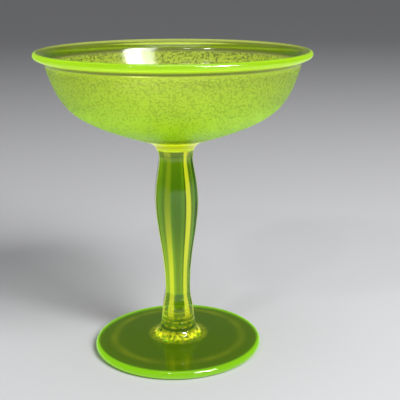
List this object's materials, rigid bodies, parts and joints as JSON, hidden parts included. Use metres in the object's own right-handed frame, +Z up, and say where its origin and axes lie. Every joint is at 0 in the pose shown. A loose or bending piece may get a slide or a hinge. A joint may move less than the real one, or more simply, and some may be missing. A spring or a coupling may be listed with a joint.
{
  "type": "stemmed saucer glass",
  "caption": "Stemmed saucer glass in yellow-green pressed glass: stippled shallow bowl with a turned-out lip, panelled baluster stem, flared collar and round foot.",
  "frame": {"origin": "middle of the plane that the foot rests on", "axes": "+Z up along the glass's axis"},
  "size_m": [0.108, 0.108, 0.124],
  "materials": {
    "stippled_glass": "gloss, stippled outside",
    "plain_glass": "gloss"
  },
  "bodies": {
    "root": {"bowl": "stippled_glass", "bowl_collar": "plain_glass", "stem": "plain_glass", "foot_collar": "plain_glass", "foot": "plain_glass"}
  },
  "joints": []
}
